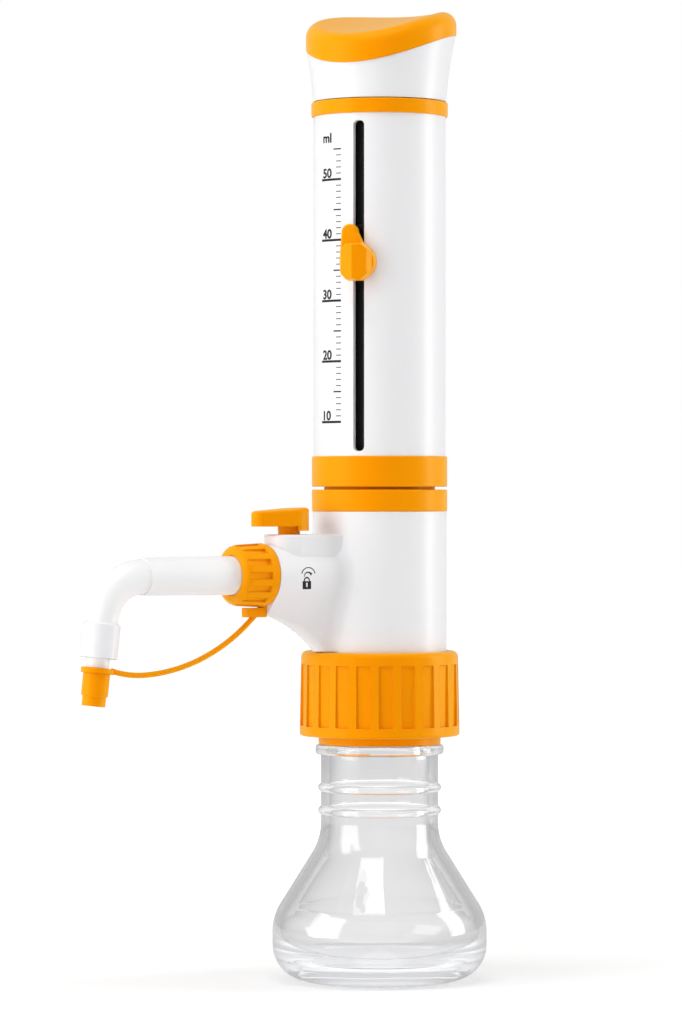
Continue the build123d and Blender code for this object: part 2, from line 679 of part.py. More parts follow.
def tube_sleeve():
    """The stiff straight sleeve round the discharge tube, flanged inside the nut."""
    flange_end = TUBE_START + SLEEVE_FLANGE_T
    bore = SPOUT_CORE_R + CORE_FIT
    return SPOUT * turned(
        (bore, TUBE_START),
        (SLEEVE_FLANGE_R, TUBE_START),
        (SLEEVE_FLANGE_R, flange_end),
        (SPOUT_SLEEVE_R, flange_end),
        (SPOUT_SLEEVE_END_R, SPOUT_SLEEVE_END),
        (bore, SPOUT_SLEEVE_END),
    )


def elbow_place(share):
    """The section plane of the elbow at a share of its turn."""
    turn = radians(ELBOW_TURN * share)
    x = -SPOUT_SLEEVE_END - ELBOW_R * sin(turn)
    z = SPOUT_Z - ELBOW_R * (1 - cos(turn))
    return Plane(origin=(x, 0, z), x_dir=(0, 1, 0), z_dir=(-cos(turn), 0, -sin(turn)))


def discharge_tube():
    """The tube from the nut, through the elbow, into the coupler."""
    sections = []
    for i in range(ELBOW_SECTIONS):
        share = i / (ELBOW_SECTIONS - 1)
        radius = ELBOW_START_R + share * (ELBOW_END_R - ELBOW_START_R)
        sections.append(elbow_place(share) * Circle(radius))
    body = loft(sections) + SPOUT * rod(SPOUT_CORE_R, TUBE_START, SPOUT_SLEEVE_END)
    body += NOZZLE * rod(ELBOW_END_R, 0, ELBOW_TAIL)
    body += NOZZLE * rod(SPOUT_CORE_R, ELBOW_TAIL, ELBOW_TAIL + CORE_TAIL)
    bend = JernArc((-SPOUT_SLEEVE_END, SPOUT_Z), (-1, 0), ELBOW_R, ELBOW_TURN)
    body -= sweep(elbow_place(0) * Circle(SPOUT_BORE_R), Plane.XZ * bend)
    body -= SPOUT * rod(SPOUT_BORE_R, TUBE_START, SPOUT_SLEEVE_END)
    return body - NOZZLE * rod(SPOUT_BORE_R, 0, ELBOW_TAIL + CORE_TAIL)


def nozzle_coupler():
    """The coupler that joins the nozzle tip to the tube."""
    high = ELBOW_TAIL + COUPLER_L
    body = rod(COUPLER_R, ELBOW_TAIL, high)
    body = chamfer(body.edges().filter_by(GeomType.CIRCLE).sort_by(Axis.Z)[0], COUPLER_CHAMFER)
    body -= rod(SPOUT_CORE_R + CORE_FIT, ELBOW_TAIL, TIP_START)
    return NOZZLE * (body - rod(TIP_R + CORE_FIT, TIP_START, high))


def nozzle_tip():
    """The tip that the liquid leaves by, stepped where the cap grips it."""
    return NOZZLE * turned(
        (TIP_BORE_R, TIP_START), (TIP_R, TIP_START), (TIP_R, TIP_STEP), (TIP_END_R, TIP_STEP),
        (TIP_END_R, TIP_END), (TIP_BORE_R, TIP_END),
    )


def tip_cap():
    """The closing cap, stepped at its end, with a tab for the strap."""
    end = TIP_CAP_START + TIP_CAP_L
    flange_end = TIP_CAP_START + TIP_CAP_FLANGE_T
    neck_start = end - TIP_CAP_END_L
    body = turned(
        (0, TIP_CAP_START), (TIP_CAP_FLANGE_R, TIP_CAP_START), (TIP_CAP_FLANGE_R, flange_end),
        (TIP_CAP_R, flange_end), (TIP_CAP_R, neck_start), (TIP_CAP_END_R, neck_start + TIP_CAP_STEP),
        (TIP_CAP_END_R, end), (0, end),
    )
    half = TIP_CAP_TAB_W / 2
    body += block((0, -half, TIP_CAP_START), (TIP_CAP_TAB, half, flange_end))
    body -= rod(TIP_R + TIP_CAP_SEAT_GAP, TIP_CAP_START, TIP_STEP + TIP_CAP_SEAT_GAP)
    return NOZZLE * (body - rod(TIP_END_R + TIP_CAP_FIT, TIP_CAP_START, end - TIP_CAP_FLOOR_T))


def strap_path():
    """The strap's line, in the plane of the spout, down from the cap's tab and up to the eye ring's lug."""
    tab = (NOZZLE * Pos(TIP_CAP_TAB + STRAP_GAP, 0, TIP_CAP_START + TIP_CAP_FLANGE_T / 2)).position
    dip = NOZZLE_TILT + radians(STRAP_DIP)
    low = JernArc((tab.X, tab.Z), (cos(dip), -sin(dip)), STRAP_LOW_R, STRAP_LOW_TURN)
    end = (STRAP_INSET - EYE_LUG_L - EYE_RING_START, EYE_LUG_FOOT - STRAP_END_DROP)
    return Plane.XZ * Curve([low, TangentArc(low @ 1, end, tangent=low % 1)])


def cap_tether():
    """The moulded strap that keeps the cap with the instrument."""
    path = strap_path()
    return sweep(Plane(path @ 0, z_dir=path % 0) * Circle(STRAP_R), path)


def tether_ring():
    """The eye ring behind the nut, with the lug that the strap hangs from."""
    start = EYE_RING_START
    end = start + EYE_RING_T
    half = EYE_LUG_W / 2
    top = EYE_LUG_TOP - SPOUT_Z
    foot = EYE_LUG_FOOT - SPOUT_Z
    ring = rod(BOSS_R - EYE_RING_SINK, start, end)
    ring += block((foot, -half, start), (0, half, end))
    ring += block((foot, -half, start), (top, half, start + EYE_LUG_L))
    return SPOUT * (ring - rod(SPIGOT_R + CORE_FIT, start, end))


# ---- housing ----


def housing_ring():
    """The housing's lower band, which turns on the block's pin."""
    bore = SWIVEL_PIN_R + RUNNING
    band = rod(BAND_R, HOUSING_RING_FOOT, HOUSING_FOOT)
    band = fillet(band.edges().filter_by(GeomType.CIRCLE), BAND_ROUND)
    band += rod(HOUSING_BORE_R - SPIGOT_FIT, HOUSING_FOOT, HOUSING_FOOT + RING_SPIGOT_H)
    band -= rod(bore, HOUSING_RING_FOOT, HOUSING_FOOT + RING_SPIGOT_H)
    return band - clip_groove(SWIVEL_PIN_R + RUNNING, HOUSING_RING_FOOT + CLIP_LIFT)


def housing_tube():
    """The white tube, with the long slot that the volume pointer slides in."""
    slot_low = HOUSING_FOOT + SLOT_FOOT
    slot_high = HOUSING_TOP - SLOT_HEAD
    opening = Pos(0, 0, (slot_low + slot_high) / 2) * Box(
        HOUSING_R * 2, SLOT_W, slot_high - slot_low, align=(Align.MAX, Align.CENTER, Align.CENTER)
    )
    opening = fillet(opening.edges().filter_by(Axis.X), SLOT_ROUND)
    return SCALE_SIDE * (tube(HOUSING_R, HOUSING_BORE_R, HOUSING_FOOT, HOUSING_TOP) - opening)


def top_guide_ring():
    """The ring on top of the tube, which guides the sleeve and stops its flange."""
    band = rod(GUIDE_R, HOUSING_TOP, GUIDE_TOP)
    band = fillet(band.edges().filter_by(GeomType.CIRCLE), BAND_ROUND)
    band += rod(HOUSING_BORE_R - SPIGOT_FIT, HOUSING_TOP - GUIDE_SPIGOT_H, HOUSING_TOP)
    return band - rod(SLEEVE_R + RUNNING, HOUSING_TOP - GUIDE_SPIGOT_H, GUIDE_TOP)


# ---- volume pointer and clamp ----


def on_slot(height):
    """A plane on the slot's line: its z outwards, its x to the right, its y up."""
    return Plane(origin=(0, 0, height), x_dir=(0, -1, 0), z_dir=(-1, 0, 0)).location


def volume_pointer():
    """The pear-shaped pointer that slides on the tube."""
    tip_x, tip_y = POINTER_TIP
    side = POINTER_TIP_R
    outline = Circle(POINTER_R) + Pos(tip_x, tip_y) * Circle(side)
    outline += make_face(
        Polyline(
            (tip_x - side, tip_y), (tip_x + side, tip_y), (POINTER_R / 2, POINTER_NOTCH),
            (POINTER_R / 2, 0), (-POINTER_R, 0), close=True,
        )
    )
    plate = extrude(outline, POINTER_T + POINTER_BLANK_T)
    plate = on_slot(STUD_Z) * Pos(0, 0, POINTER_BACK_R - POINTER_BLANK_T) * plate
    plate = fillet(plate.faces().sort_by(Axis.X)[0].edges(), POINTER_ROUND)
    plate -= rod(POINTER_BACK_R, STUD_Z - 2 * POINTER_R, STUD_Z + 3 * POINTER_R)
    hole = on_slot(STUD_Z) * rod(STUD_R + STUD_FIT, 0, POINTER_FACE_R)
    return SCALE_SIDE * (plate - hole)


def clamp_plate():
    """The curved plate behind the slot, with the tongue that the plunger's flange stops on."""
    low = STUD_Z - POINTER_R + PLATE_TUCK
    high = TONGUE_Z + TONGUE_H
    half = PLATE_W / 2
    plate = tube(PLATE_BACK_R, PLATE_BACK_R - PLATE_T, low, high)
    plate += tube(PLATE_BACK_R, SLEEVE_R + TONGUE_REACH, TONGUE_Z, high)
    plate &= block((-HOUSING_R, -half, low), (0, half, high))
    return SCALE_SIDE * (plate - on_slot(STUD_Z) * rod(STUD_R + STUD_FIT, 0, HOUSING_R))


def octagon(flats):
    """A KNOB_SIDES-sided outline with a corner on +X turned to a flat's middle."""
    return Rot(0, 0, 180 / KNOB_SIDES) * RegularPolygon(flats / 2 / cos(radians(180 / KNOB_SIDES)), KNOB_SIDES)


def clamp_knob():
    """The eight-sided thumb knob, faceted across its front too, with the stud that goes through the slot."""
    foot = POINTER_FACE_R + KNOB_GAP
    knob = extrude(octagon(KNOB_FLATS), KNOB_H, taper=KNOB_TAPER)
    corner = KNOB_GRIP / 2 / cos(radians(180 / KNOB_SIDES))
    grip = Rot(0, 0, 180 / KNOB_SIDES) * octagon(KNOB_GRIP)
    knob &= Pos(0, -KNOB_FLATS, KNOB_H - corner) * Rot(-90, 0, 0) * extrude(grip, 2 * KNOB_FLATS)
    front = [e for e in knob.edges() if e.center().Z > KNOB_H / 8]
    knob = Pos(0, 0, foot) * fillet(front, KNOB_ROUND)
    stud = rod(STUD_R, PLATE_BACK_R - PLATE_T, foot)
    return SCALE_SIDE * on_slot(STUD_Z) * (knob + stud)


# ---- plunger ----


def head_flare(inset, low, high):
    """The head's flared form, set in by a wall."""
    mid_z = HEAD_FOOT + HEAD_WAIST_H
    end_z = HEAD_FOOT + HEAD_FLARE_H
    side = ThreePointArc((HEAD_R - inset, HEAD_FOOT), (HEAD_WAIST_R - inset, mid_z), (HEAD_FLARE_R - inset, end_z))
    outline = [side, Polyline((HEAD_FLARE_R - inset, end_z), (0, end_z), (0, HEAD_FOOT), (HEAD_R - inset, HEAD_FOOT))]
    form = revolve(make_face(Plane.XZ * Curve(outline)), Axis.Z)
    return form & rod(HEAD_FLARE_R, low, high)


def scoop(height, slope, radius):
    """Everything above a hollow that runs up along +X, at a height on the axis."""
    plane = Plane(origin=(0, 0, height), z_dir=(-slope, 0, 1))
    return plane.location * Pos(0, 0, radius) * Rot(0, 90, 0) * Cylinder(radius, BLANK)


def handle_body():
    """The hollow white head with a slanted, hollowed mouth and a boss for the piston rod."""
    top = HEAD_FOOT + HEAD_FLARE_H
    shell = head_flare(0, HEAD_FOOT, top) - head_flare(HEAD_WALL, HEAD_FLOOR_TOP, top)
    shell -= scoop(HEAD_CUT_Z, HEAD_CUT_SLOPE, HEAD_CUT_R)
    shell += rod(HEAD_BOSS_R, HEAD_FLOOR_TOP, ROD_TOP)
    return HEAD_SIDE * (shell - rod(ROD_R + CORE_FIT, HEAD_FOOT, ROD_TOP))


def handle_cap():
    """The slanted thumb cap, hollowed across its slope, with a spigot that seats in the head."""
    crown_z = HEAD_CUT_Z + CAP_T
    cap = Pos(CAP_SHIFT, 0, 0) * rod(CAP_R, HEAD_FOOT, crown_z + CAP_R)
    cap -= scoop(crown_z, CAP_SLOPE, CAP_HOLLOW_R)
    cap &= scoop(HEAD_CUT_Z, HEAD_CUT_SLOPE, HEAD_CUT_R)
    cap = fillet(cap.faces().sort_by(Axis.Z)[-1].edges(), CAP_ROUND)
    spigot = tube(CAP_SPIGOT_R, CAP_SPIGOT_R - CAP_SPIGOT_WALL, HEAD_FOOT, crown_z + CAP_R)
    spigot &= scoop(HEAD_CUT_Z - CAP_SPIGOT_H, HEAD_CUT_SLOPE, HEAD_CUT_R)
    spigot -= scoop(HEAD_CUT_Z + CAP_SPIGOT_ROOT, HEAD_CUT_SLOPE, HEAD_CUT_R)
    return HEAD_SIDE * (cap + spigot)


def plunger_sleeve():
    """The dark sleeve that hides the glass cylinder and carries the stop flange."""
    sleeve = tube(SLEEVE_R, SLEEVE_R - SLEEVE_WALL, STOP_FOOT, HEAD_FOOT)
    return sleeve + tube(STOP_R, SLEEVE_R - SLEEVE_WALL, STOP_FOOT, STOP_TOP)


def piston_rod():
    foot = PISTON_FOOT + PISTON_H
    screw_hole = rod(PISTON_SCREW_R, ROD_TOP - PISTON_SCREW_L, ROD_TOP)
    return rod(ROD_R, foot, ROD_TOP) - screw_hole


def ceramic_piston():
    return rod(CYLINDER_BORE_R - RUNNING, PISTON_FOOT, PISTON_FOOT + PISTON_H)


def piston_screw():
    head = rod(PISTON_SCREW_HEAD_R, ROD_TOP, ROD_TOP + PISTON_SCREW_HEAD_T)
    return head + rod(PISTON_SCREW_R, ROD_TOP - PISTON_SCREW_L, ROD_TOP)


PIECES = (
    glass_bottle, bottle_adapter, bottle_seal, head_seal, collar_nut, collar_retaining_ring,
    valve_block, block_ring, swivel_clip, glass_cylinder, cylinder_seal, intake_valve_body,
    intake_ball, discharge_valve_seat, discharge_ball, discharge_spring, stem_bush, plug_seal,
    stopcock_plug, valve_lever, union_nut, tube_seal, tube_sleeve, discharge_tube,
    nozzle_coupler, nozzle_tip, tip_cap, cap_tether, tether_ring, housing_ring, housing_tube,
    top_guide_ring, volume_pointer, clamp_plate, clamp_knob, handle_body, handle_cap,
    plunger_sleeve, piston_rod, ceramic_piston, piston_screw,
)

os.makedirs("parts", exist_ok=True)
for piece in PIECES:
    export_step(piece(), f"parts/{piece.__name__}.step")
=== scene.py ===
from math import cos, pi, radians, sin, tan

import bmesh
import bpy
from mathutils import Matrix, Vector
from mathutils.bvhtree import BVHTree


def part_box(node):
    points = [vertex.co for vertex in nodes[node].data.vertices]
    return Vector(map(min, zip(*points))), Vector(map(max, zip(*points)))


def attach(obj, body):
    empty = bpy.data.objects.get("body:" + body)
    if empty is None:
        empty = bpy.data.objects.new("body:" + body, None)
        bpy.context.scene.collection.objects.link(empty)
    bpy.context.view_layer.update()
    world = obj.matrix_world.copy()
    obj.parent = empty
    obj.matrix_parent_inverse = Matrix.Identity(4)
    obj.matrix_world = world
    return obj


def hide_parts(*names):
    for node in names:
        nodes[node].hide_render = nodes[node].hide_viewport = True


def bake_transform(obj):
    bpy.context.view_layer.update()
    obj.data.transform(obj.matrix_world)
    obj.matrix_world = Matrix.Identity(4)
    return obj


# A bottle-top dispenser on its reagent bottle.  Metres, +Z up, the spout along -X.
# The sections follow the instrument as it is put together, from the bottle up to the thumb cap.

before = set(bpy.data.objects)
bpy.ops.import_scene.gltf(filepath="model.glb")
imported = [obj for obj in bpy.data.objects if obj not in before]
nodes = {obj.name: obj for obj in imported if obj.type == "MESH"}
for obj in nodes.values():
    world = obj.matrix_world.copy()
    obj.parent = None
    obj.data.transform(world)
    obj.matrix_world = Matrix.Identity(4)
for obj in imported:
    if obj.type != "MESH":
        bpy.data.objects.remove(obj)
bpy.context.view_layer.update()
MM = 0.001

# ---- bottle ----
# A pear-shaped bottle of clear flint glass, blown in a mould, with two neck beads and a transfer
# bead.  The adapter screws on its mouth and everything else stands on that.

GLASS_TINT = (0.99, 0.99, 0.995, 1)
GLASS_HAZE = (0.92, 0.925, 0.94, 1)
HAZE_SHARE = 0.06  # how much of the haze shows where the melt is cloudiest
GLASS_SHADE = (0.64, 0.65, 0.67, 1)
GLASS_IOR = 1.5
GLASS_PAINTED_RIM_SHADE = (0.1, 0.1, 0.11, 1)  # painted shade: a dark rim mixed into the glass's colour where the wall is seen edge on
RIM_SHADE_POWER = 2.8
DEEP_BOUNCE = 4.5  # a ray still in the glass after this many bounces is given a painted glow in place of the room's light
# painted glow: the light that glass emits where rays stay deep in it
DEEP_LIGHT = (1.25, 1.255, 1.27, 1)
DEEP_SHADE = (0.55, 0.555, 0.57, 1)  # the painted glow, dimmer where the glass is seen at a slant
DEEP_POWER = 1.5
NOTHING = (0, 0, 0, 1)


def feed(tree, socket, value):
    """Sets a socket, or links another node's output to it."""
    if isinstance(value, bpy.types.NodeSocket):
        tree.links.new(value, socket)
    else:
        socket.default_value = value


def wire(tree, node, **settings):
    """Feeds input sockets of a node by name, with _ for a space."""
    for label, value in settings.items():
        feed(tree, node.inputs[label.replace("_", " ")], value)


def place(tree, kind, **settings):
    """Adds a shader node. A setting is one of its properties or, with _ for a space, an input socket."""
    node = tree.nodes.new("ShaderNode" + kind)
    for label, value in settings.items():
        socket = node.inputs.get(label.replace("_", " "))
        if socket is None:
            setattr(node, label, value)
        else:
            feed(tree, socket, value)
    return node


def reckon(tree, operation, *terms):
    """A Math node's result, from numbers or other nodes' outputs."""
    node = place(tree, "Math", operation=operation)
    for socket, term in zip(node.inputs, terms):
        feed(tree, socket, term)
    return node.outputs[0]


def mingle(tree, share, first, second, mode="MIX"):
    """Two colours mixed by a share."""
    node = place(tree, "Mix", data_type="RGBA", blend_type=mode)
    for socket, term in zip((node.inputs[0], node.inputs[6], node.inputs[7]), (share, first, second)):
        feed(tree, socket, term)
    return node.outputs[2]


def effect(name, inputs, outputs):
    """An empty shader group with named sockets, and its input and output nodes' sockets."""
    group = bpy.data.node_groups.new(name, "ShaderNodeTree")
    for label, kind, value in inputs:
        socket = group.interface.new_socket(label, in_out="INPUT", socket_type="NodeSocket" + kind)
        socket.default_value = value
    for label, kind in outputs:
        group.interface.new_socket(label, in_out="OUTPUT", socket_type="NodeSocket" + kind)
    return group, group.nodes.new("NodeGroupInput").outputs, group.nodes.new("NodeGroupOutput").inputs


def use(tree, group, **settings):
    """Places a shader group in a material, with its inputs set by name."""
    node = tree.nodes.new("ShaderNodeGroup")
    node.node_tree = group
    wire(tree, node, **settings)
    return node.outputs


def finish_of(name, **constants):
    """A new material, its node tree and its Principled shader with constants set on its own sockets."""
    made = bpy.data.materials.new(name)
    made.use_nodes = True
    shader = made.node_tree.nodes["Principled BSDF"]
    for label, value in constants.items():
        shader.inputs[label.replace("_", " ")].default_value = value
    return made, made.node_tree, shader


def dress(material, *names):
    """Gives carried CAD pieces their finish."""
    for name in names:
        slots = nodes[name].data.materials
        slots.clear()
        slots.append(material)


def glass_melt_group():
    """The faint waves of moulded glass, and the smears that handling leaves on it."""
    group, given, made = effect(
        "glass_melt",
        [("Clear", "Color", (1, 1, 1, 1)), ("Wave Size", "Float", 45.0), ("Smear", "Float", 0.02)],
        [("Colour", "Color"), ("Roughness", "Float"), ("Height", "Float")],
    )
    spot = place(group, "TexCoord").outputs["Object"]
    wave = place(group, "TexNoise", Vector=spot, Scale=given["Wave Size"], Detail=2.0).outputs["Fac"]
    smear = place(group, "TexNoise", Vector=spot, Scale=160.0, Detail=4.0, Distortion=0.6).outputs["Fac"]
    dulled = place(
        group, "MapRange", Value=smear, From_Min=0.55, From_Max=0.8, To_Min=0.0, To_Max=given["Smear"],
    )
    cloud = reckon(group, "MULTIPLY", wave, HAZE_SHARE)
    feed(group, made["Colour"], mingle(group, cloud, given["Clear"], GLASS_HAZE))
    feed(group, made["Roughness"], dulled.outputs[0])
    feed(group, made["Height"], wave)
    return group


def clear_glass(name, wave_size, wave_depth, smear, density):
    """Clear glass with a grey-green depth, so that it darkens where it is seen along the wall, with
    painted shade on its edge-on rims and a painted glow where rays stay deep in it.
    """
    made, tree, shader = finish_of(name, Transmission_Weight=1.0, IOR=GLASS_IOR, Emission_Strength=1.0)
    melt = use(tree, glass_melt, Clear=GLASS_TINT, Wave_Size=wave_size, Smear=smear)
    facing = place(tree, "LayerWeight", Blend=0.5).outputs["Facing"]
    bounce = place(tree, "LightPath").outputs["Ray Depth"]
    deep = reckon(tree, "GREATER_THAN", bounce, DEEP_BOUNCE)
    just_deep = reckon(tree, "MULTIPLY", deep, reckon(tree, "LESS_THAN", bounce, DEEP_BOUNCE + 1.0))
    # painted shade: the glass's colour turns dark towards the rims where the wall is seen edge on
    clear = mingle(tree, reckon(tree, "POWER", facing, RIM_SHADE_POWER), melt["Colour"], GLASS_PAINTED_RIM_SHADE)
    # painted glow: rays that stay deep in the glass emit this light, dimmer at a slant
    room = mingle(tree, reckon(tree, "POWER", facing, DEEP_POWER), DEEP_LIGHT, DEEP_SHADE)
    bump = place(tree, "Bump", Height=melt["Height"], Distance=wave_depth, Strength=1.0)
    through = mingle(tree, deep, clear, NOTHING)
    painted_glow = mingle(tree, just_deep, NOTHING, room)
    wire(
        tree, shader, Base_Color=through, Emission_Color=painted_glow, Roughness=melt["Roughness"],
        Normal=bump.outputs[0],
    )
    depth = place(tree, "VolumeAbsorption", Color=GLASS_SHADE, Density=density)
    wire(tree, tree.nodes["Material Output"], Volume=depth.outputs[0])
    return made


glass_melt = glass_melt_group()
flint_glass = clear_glass("flint_glass", wave_size=45.0, wave_depth=0.12 * MM, smear=0.03, density=4.0)
dress(flint_glass, "glass_bottle")

# ---- seals ----
# Flat washers and O-rings of pale silicone rubber, one wherever the liquid's path is joined.
# They are pinched between their neighbours.

SEAL_COLOUR = (0.72, 0.74, 0.70, 1)
MIDDLE_GREY = (0.8, 0.8, 0.8, 1)
CLOUD_TINT = (0.86, 0.84, 0.82, 1)  # the clouds' colour, as a share of the body's
CLOUD_GAIN = 6.0
# painted highlight: how much paler the rounded edges are made; the next value makes them smoother
EDGE_PAINTED_HIGHLIGHT = 0.02
EDGE_POLISH = 0.1
GRAIN_SHARE = 0.35  # of the fine grain in the height, next to the peel


def gauge(tree, operation, *terms):
    """A Vector Math node's single number, from vectors or other nodes' outputs."""
    node = place(tree, "VectorMath", operation=operation)
    for socket, term in zip(node.inputs, terms):
        feed(tree, socket, term)
    return node.outputs["Value"]


def moulded_skin_group():
    """A moulded surface: clouded colour with a painted sheen at a slant, uneven gloss, a fine grain, and
    smoother edges with a faint painted highlight.
    """
    group, given, made = effect(
        "moulded_skin",
        [
            ("Colour", "Color", MIDDLE_GREY), ("Slant Colour", "Color", MIDDLE_GREY),
            ("Slant", "Float", 0.0), ("Mottle", "Float", 0.04), ("Roughness", "Float", 0.3),
            ("Gloss Spread", "Float", 0.08), ("Grain Size", "Float", 1500.0),
            ("Edge Width", "Float", 0.4 * MM),
        ],
        [("Colour", "Color"), ("Roughness", "Float"), ("Height", "Float"), ("Normal", "Vector")],
    )
    spot = place(group, "TexCoord").outputs["Object"]
    cloud = place(group, "TexNoise", Vector=spot, Scale=38.0, Detail=3.0, Roughness=0.6).outputs["Fac"]
    grain = place(group, "TexNoise", Vector=spot, Scale=given["Grain Size"], Detail=2.0).outputs["Fac"]
    peel = place(group, "TexNoise", Vector=spot, Scale=260.0, Detail=1.0).outputs["Fac"]

    rounded = place(group, "Bevel", samples=4, Radius=given["Edge Width"]).outputs[0]
    plain = place(group, "NewGeometry").outputs["Normal"]
    level = gauge(group, "DOT_PRODUCT", rounded, plain)
    edge_polish_and_highlight = place(group, "MapRange", Value=level, From_Min=0.995, From_Max=0.8, To_Max=0.5).outputs[0]

    # painted sheen: the slant colour is mixed in where the surface is seen at a slant
    body = mingle(group, given["Slant"], given["Colour"], given["Slant Colour"])
    darker = mingle(group, 1.0, body, CLOUD_TINT, "MULTIPLY")
    share = reckon(group, "MULTIPLY", cloud, reckon(group, "MULTIPLY", given["Mottle"], CLOUD_GAIN))
    clouded = mingle(group, share, body, darker)
    # painted highlight: the rounded edges are made a touch paler
    edge_highlighted = mingle(group, reckon(group, "MULTIPLY", edge_polish_and_highlight, EDGE_PAINTED_HIGHLIGHT), clouded, (1, 1, 1, 1))

    spread = reckon(group, "MULTIPLY", reckon(group, "SUBTRACT", peel, 0.5), given["Gloss Spread"])
    rough = reckon(group, "ADD", given["Roughness"], spread)
    polished = reckon(group, "SUBTRACT", rough, reckon(group, "MULTIPLY", edge_polish_and_highlight, EDGE_POLISH))

    feed(group, made["Colour"], edge_highlighted)
    feed(group, made["Roughness"], polished)
    feed(group, made["Height"], reckon(group, "ADD", reckon(group, "MULTIPLY", grain, GRAIN_SHARE), peel))
    feed(group, made["Normal"], rounded)
    return group


def moulded(
    name, colour, roughness, grain_depth,
    mottle=0.04, spread=0.08, grain_size=1500.0, edge=0.4 * MM, painted_sheen=None, **constants
):
    """A moulded material with the shared skin; the colour given for a slant is a painted sheen, shown
    where it is seen at a slant.
    """
    made, tree, shader = finish_of(name, **constants)
    skin = use(
        tree, moulded_skin, Colour=colour, Roughness=roughness, Mottle=mottle, Gloss_Spread=spread,
        Grain_Size=grain_size, Edge_Width=edge, Slant_Colour=painted_sheen or colour,
        Slant=place(tree, "LayerWeight", Blend=0.5).outputs["Facing"] if painted_sheen else 0.0,
    )
    bump = place(
        tree, "Bump", Height=skin["Height"], Normal=skin["Normal"], Distance=grain_depth, Strength=1.0,
    )
    wire(tree, shader, Base_Color=skin["Colour"], Roughness=skin["Roughness"], Normal=bump.outputs[0])
    return made


moulded_skin = moulded_skin_group()
pale_silicone = moulded(
    "pale_silicone", SEAL_COLOUR, roughness=0.62, grain_depth=0.03 * MM, spread=0.15, grain_size=900.0,
)
dress(pale_silicone, "bottle_seal", "head_seal", "cylinder_seal", "plug_seal", "tube_seal")

# ---- adapter ----
# A moulded polypropylene ring that takes the collar's large thread down to the bottle's mouth.
# Its own thread is a single start of 4 mm pitch, cut short above the plain foot.

ORANGE = (1.0, 0.32, 0.001, 1)
ORANGE_PAINTED_SHEEN = (1.0, 0.47, 0.002, 1)  # painted sheen: the plastic is made yellower where it is seen at a slant
ORANGE_GLOSS = (1.0, 0.72, 0.1, 1)
ORANGE_SHINE = 0.17
PITCH = 4.0 * MM
THREAD_DEPTH = 0.75 * MM
THREAD_RUN_IN = 0.5  # turns over which a thread's end fades
RIDGE_HALF = 0.3  # half of a ridge's foot, as a share of the pitch
RIDGE_STEEP = 1.6  # cuts the ridge's crest off flat
THREAD_LEVELS = 80
PLAIN_FOOT = 3.6 * MM
FOOT_CHAMFER = 0.4 * MM
PLAIN_TOP = 1.0 * MM
SEAL_PLAY = 0.2 * MM
SEAL_CLEARANCE = 0.02 * MM
THROAT_WALL = 6.85 * MM
RING_STEPS = 96
SHARP = radians(35.0)


def smooth(piece):
    """Shades a piece smooth, with its sharp corners kept, and makes its faces point outwards."""
    shape = bmesh.new()
    shape.from_mesh(piece.data)
    bmesh.ops.recalc_face_normals(shape, faces=shape.faces)
    for face in shape.faces:
        face.smooth = True
    for edge in shape.edges:
        edge.smooth = len(edge.link_faces) != 2 or edge.calc_face_angle() < SHARP
    shape.to_mesh(piece.data)
    shape.free()
    return piece


def stand(name, data):
    """A new object in the scene."""
    thing = bpy.data.objects.new(name, data)
    bpy.context.scene.collection.objects.link(thing)
    return thing


def revolved(name, outline, bend):
    """A closed turned piece from (radius, height) points; bend(angle, radius, height) moves each."""
    corners, faces = [], []
    for i in range(RING_STEPS):
        angle = 2 * pi * i / RING_STEPS
        for radius, height in outline:
            r, z = bend(angle, radius, height)
            corners.append((r * cos(angle), r * sin(angle), z))
    count = len(outline)
    for i in range(RING_STEPS):
        here, there = i * count, (i + 1) % RING_STEPS * count
        for j in range(count):
            k = (j + 1) % count
            faces.append((here + j, there + j, there + k, here + k))
    mesh = bpy.data.meshes.new(name)
    mesh.from_pydata(corners, [], faces)
    return smooth(stand(name, mesh))


def threaded_adapter():
    """The adapter between the bottle's mouth and the collar, its thread wound on the plain root."""
    low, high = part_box("bottle_adapter")
    seal_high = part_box("bottle_seal")[1]
    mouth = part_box("glass_bottle")[1].z
    crest = high.x
    root = crest - THREAD_DEPTH
    throat = crest - THROAT_WALL
    bore = seal_high.x + SEAL_PLAY
    seat = seal_high.z + SEAL_CLEARANCE
    first = low.z + PLAIN_FOOT
    last = high.z - PLAIN_TOP
    turns = (last - first) / PITCH
    side = [(root, first + (last - first) * i / THREAD_LEVELS) for i in range(THREAD_LEVELS + 1)]
    outline = [(bore, low.z), (crest, low.z), (crest, first - FOOT_CHAMFER), *side]
    outline += [(root, high.z), (throat, high.z), (throat, seat), (bore, seat), (bore, mouth)]

    def wind(angle, radius, height):
        if radius != root or not first < height < last:
            return radius, height
        turn = (height - first) / PITCH
        phase = (turn - angle / (2 * pi)) % 1.0
        ridge = max(0.0, 1.0 - abs(phase - 0.5) / RIDGE_HALF)
        fade = min(1.0, turn / THREAD_RUN_IN, (turns - turn) / THREAD_RUN_IN)
        return root + THREAD_DEPTH * min(1.0, ridge * RIDGE_STEEP) * fade, height

    return revolved("adapter_with_thread", outline, wind)


def orange(name, grain_depth, **more):
    """The orange polypropylene, with a painted yellow sheen at a slant and its warm gloss."""
    return moulded(
        name, ORANGE, roughness=0.3, grain_depth=grain_depth, painted_sheen=ORANGE_PAINTED_SHEEN,
        Specular_Tint=ORANGE_GLOSS, Specular_IOR_Level=ORANGE_SHINE, **more
    )


orange_plastic = orange("orange_polypropylene", grain_depth=0.018 * MM, mottle=0.03)
adapter = threaded_adapter()
adapter.data.materials.append(orange_plastic)
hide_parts("bottle_adapter")
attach(adapter, "bottle_stand")

